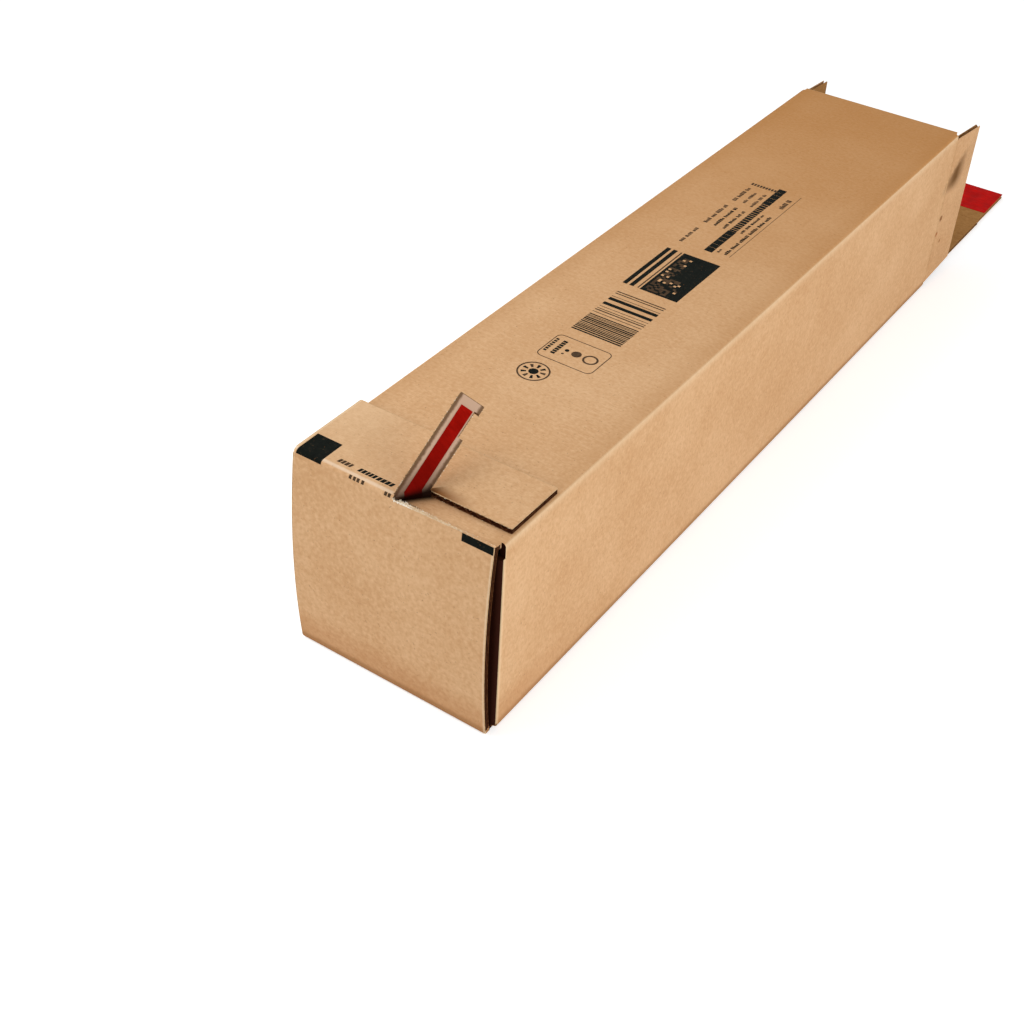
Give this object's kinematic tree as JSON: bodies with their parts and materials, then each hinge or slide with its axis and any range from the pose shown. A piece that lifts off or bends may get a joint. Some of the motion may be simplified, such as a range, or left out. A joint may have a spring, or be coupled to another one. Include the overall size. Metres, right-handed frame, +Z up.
{
  "type": "corrugated mailing tube",
  "caption": "Long square mailing tube folded from kraft corrugated board, near end glued with a lifted red tear strip, far end open with its flaps and release liner.",
  "frame": {"origin": "middle of the bottom panel's outer face, half way between the near and far creases", "axes": "+X to the right seen from the closed near end, +Y along the tube from the closed near end to the open far end, +Z up"},
  "size_m": [0.116, 0.7, 0.1485],
  "materials": {
    "kraft_board": "matt brown kraft liner",
    "hot_melt_glue": "dull amber glue",
    "tear_tape": "red film tape",
    "release_liner": "smooth red release paper"
  },
  "bodies": {
    "tube": {"carton": "kraft_board", "seam_adhesive": "hot_melt_glue", "near_closure_adhesive": "hot_melt_glue", "near_tear_tape": "tear_tape"},
    "right_dust_flap": {"far_dust_flap_right": "kraft_board"},
    "left_dust_flap": {"far_dust_flap_left": "kraft_board"},
    "end_panel": {"far_end_panel": "kraft_board"},
    "closure_flap": {"far_closure_flap": "kraft_board", "far_adhesive_strip": "hot_melt_glue", "far_release_liner": "release_liner"}
  },
  "joints": [
    {"name": "right_dust_crease", "type": "hinge", "parent": "tube", "child": "right_dust_flap", "pos_m": [0.054, 0.264, 0.057], "axis": [0, 0, 1], "range_deg": [0, 91.5]},
    {"name": "left_dust_crease", "type": "hinge", "parent": "tube", "child": "left_dust_flap", "pos_m": [-0.054, 0.264, 0.057], "axis": [0, 0, -1], "range_deg": [0, 91.5]},
    {"name": "end_panel_crease", "type": "hinge", "parent": "tube", "child": "end_panel", "pos_m": [0, 0.2673, 0.003], "axis": [1, 0, 0], "range_deg": [0, 90]},
    {"name": "closure_crease", "type": "hinge", "parent": "end_panel", "child": "closure_flap", "pos_m": [0, 0.3788, 0.003], "axis": [1, 0, 0], "range_deg": [0, 90]}
  ]
}
